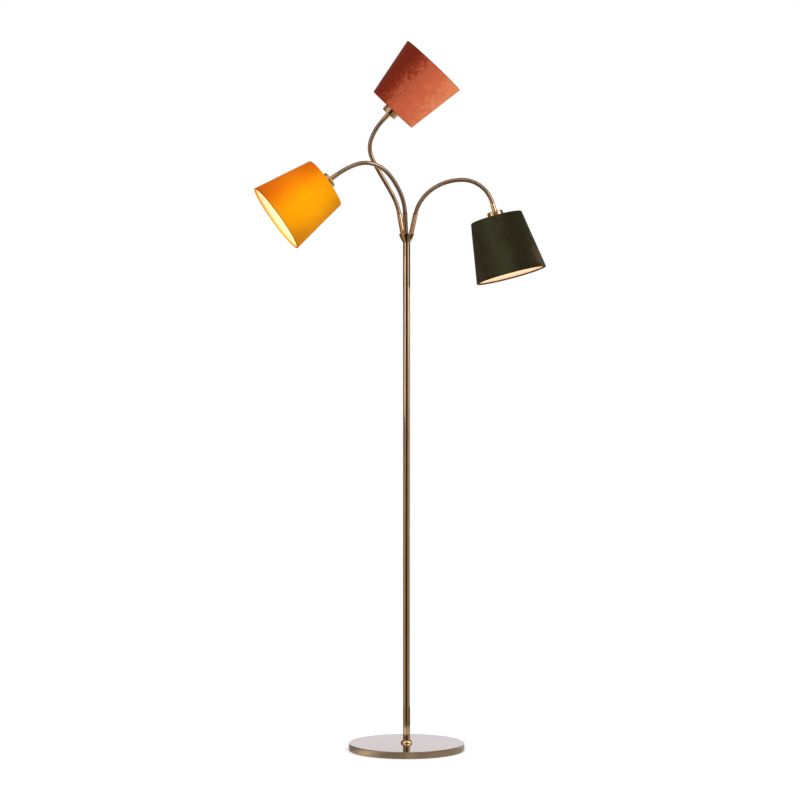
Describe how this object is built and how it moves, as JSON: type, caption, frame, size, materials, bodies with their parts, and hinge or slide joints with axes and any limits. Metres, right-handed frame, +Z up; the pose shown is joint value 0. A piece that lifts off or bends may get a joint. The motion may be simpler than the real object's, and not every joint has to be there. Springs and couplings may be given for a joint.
{
  "type": "floor lamp",
  "caption": "Tree floor lamp: weighted round base, slender stem in screwed sections and flexible gooseneck arms, each ending in a bulb head with a conical velvet shade.",
  "frame": {"origin": "middle of the base's underside, on the floor", "axes": "+Z up along the stem; -Y is the front, +X to the right seen from the front"},
  "size_m": [0.7175, 0.3655, 1.7597],
  "materials": {
    "base_bronze": "satin",
    "bronze": "satin",
    "bright_brass": "gloss",
    "flex_metal": "satin",
    "iron": "matte",
    "plated_steel": "satin",
    "foot_felt": "matte",
    "black_rubber": "matte",
    "white_plastic": "matte",
    "lead_jacket": "matte",
    "holder_plastic": "satin",
    "frame_wire": "satin",
    "liner_cream": "matte",
    "bulb_glass": "gloss",
    "velvet_ochre": "matte",
    "velvet_rust": "matte",
    "velvet_olive": "matte"
  },
  "bodies": {
    "root": {"base_cover": "base_bronze", "base_weight": "iron", "base_pad": "foot_felt", "foot_fasteners": "plated_steel", "stem_collar": "bronze", "stem_lower": "bronze", "stem_middle": "bronze", "stem_upper": "bronze", "stem_neck": "bronze", "stem_nipples": "plated_steel", "hub": "bronze", "cable_grommet": "black_rubber", "stem_lead": "lead_jacket", "terminal_block": "white_plastic", "left_arm_tube": "bronze", "left_flex_1": "flex_metal", "left_lead": "lead_jacket", "top_arm_tube": "bronze", "top_flex_1": "flex_metal", "top_lead": "lead_jacket", "right_arm_tube": "bronze", "right_flex_1": "flex_metal", "right_lead": "lead_jacket"},
    "left_link_2": {"left_flex_2": "flex_metal"},
    "left_link_3": {"left_flex_3": "flex_metal"},
    "left_link_4": {"left_flex_4": "flex_metal"},
    "left_head": {"left_flex_5": "flex_metal", "left_ferrule": "bright_brass", "left_cup": "bronze", "left_lampholder": "holder_plastic", "left_shade_ring": "holder_plastic", "left_shade_frame": "frame_wire", "left_shade_fabric": "velvet_ochre", "left_shade_liner": "liner_cream", "left_bulb": "bulb_glass"},
    "top_link_2": {"top_flex_2": "flex_metal"},
    "top_link_3": {"top_flex_3": "flex_metal"},
    "top_link_4": {"top_flex_4": "flex_metal"},
    "top_head": {"top_flex_5": "flex_metal", "top_ferrule": "bright_brass", "top_cup": "bronze", "top_lampholder": "holder_plastic", "top_shade_ring": "holder_plastic", "top_shade_frame": "frame_wire", "top_shade_fabric": "velvet_rust", "top_shade_liner": "liner_cream", "top_bulb": "bulb_glass"},
    "right_link_2": {"right_flex_2": "flex_metal"},
    "right_link_3": {"right_flex_3": "flex_metal"},
    "right_link_4": {"right_flex_4": "flex_metal"},
    "right_head": {"right_flex_5": "flex_metal", "right_ferrule": "bright_brass", "right_cup": "bronze", "right_lampholder": "holder_plastic", "right_shade_ring": "holder_plastic", "right_shade_frame": "frame_wire", "right_shade_fabric": "velvet_olive", "right_shade_liner": "liner_cream", "right_bulb": "bulb_glass"}
  },
  "joints": [
    {"name": "left_swing", "type": "hinge", "parent": "root", "child": "left_link_2", "pos_m": [-0.01546, -0.03776, 1.38092], "axis": [-0.919, 0.1118, -0.378], "range_deg": [-15, 15], "deforming": ["left_lead"]},
    {"name": "left_bend", "type": "hinge", "parent": "left_link_2", "child": "left_link_3", "pos_m": [-0.04048, -0.05854, 1.42128], "axis": [0.1145, -0.866, -0.4867], "range_deg": [-15, 15], "deforming": ["left_lead"]},
    {"name": "left_curl", "type": "hinge", "parent": "left_link_3", "child": "left_link_4", "pos_m": [-0.07777, -0.08333, 1.44659], "axis": [0.2522, -0.7745, -0.5801], "range_deg": [-15, 15], "deforming": ["left_lead"]},
    {"name": "left_tilt", "type": "hinge", "parent": "left_link_4", "child": "left_head", "pos_m": [-0.12534, -0.10128, 1.44387], "axis": [0.38, -0.7263, -0.5728], "range_deg": [-20, 20], "deforming": ["left_lead"]},
    {"name": "top_swing", "type": "hinge", "parent": "root", "child": "top_link_2", "pos_m": [-0.03511, 0.01733, 1.3814], "axis": [-0.8758, -0.0396, -0.4811], "range_deg": [-15, 15], "deforming": ["top_lead"]},
    {"name": "top_bend", "type": "hinge", "parent": "top_link_2", "child": "top_link_3", "pos_m": [-0.06104, 0.01239, 1.42618], "axis": [0.0981, -0.9908, -0.0932], "range_deg": [-8, 15], "deforming": ["top_lead"]},
    {"name": "top_curl", "type": "hinge", "parent": "top_link_3", "child": "top_link_4", "pos_m": [-0.08553, 0.00479, 1.4714], "axis": [0.1145, -0.9857, -0.1235], "range_deg": [-8, 15], "deforming": ["top_lead"]},
    {"name": "top_tilt", "type": "hinge", "parent": "top_link_4", "child": "top_head", "pos_m": [-0.08685, -0.00292, 1.52133], "axis": [0.1158, -0.9779, -0.1738], "range_deg": [-20, 20], "deforming": ["top_lead"]},
    {"name": "right_swing", "type": "hinge", "parent": "root", "child": "right_link_2", "pos_m": [0.04553, 0.00897, 1.3784], "axis": [0.7411, -0.0261, -0.6709], "range_deg": [-15, 15], "deforming": ["right_lead"]},
    {"name": "right_bend", "type": "hinge", "parent": "right_link_2", "child": "right_link_3", "pos_m": [0.08768, 0.00524, 1.40783], "axis": [0.0897, 0.995, 0.043], "range_deg": [-15, 8], "deforming": ["right_lead"]},
    {"name": "right_curl", "type": "hinge", "parent": "right_link_3", "child": "right_link_4", "pos_m": [0.13825, 0.00072, 1.4175], "axis": [0.0727, 0.9966, 0.0397], "range_deg": [-15, 8], "deforming": ["right_lead"]},
    {"name": "right_tilt", "type": "hinge", "parent": "right_link_4", "child": "right_head", "pos_m": [0.18616, -0.00253, 1.40033], "axis": [0.0888, 0.9955, 0.0339], "range_deg": [-20, 20], "deforming": ["right_lead"]}
  ],
  "couplings": [
    {"joint": "left_curl", "follows": "left_bend", "ratio": 1},
    {"joint": "top_curl", "follows": "top_bend", "ratio": 1},
    {"joint": "right_curl", "follows": "right_bend", "ratio": 1}
  ]
}
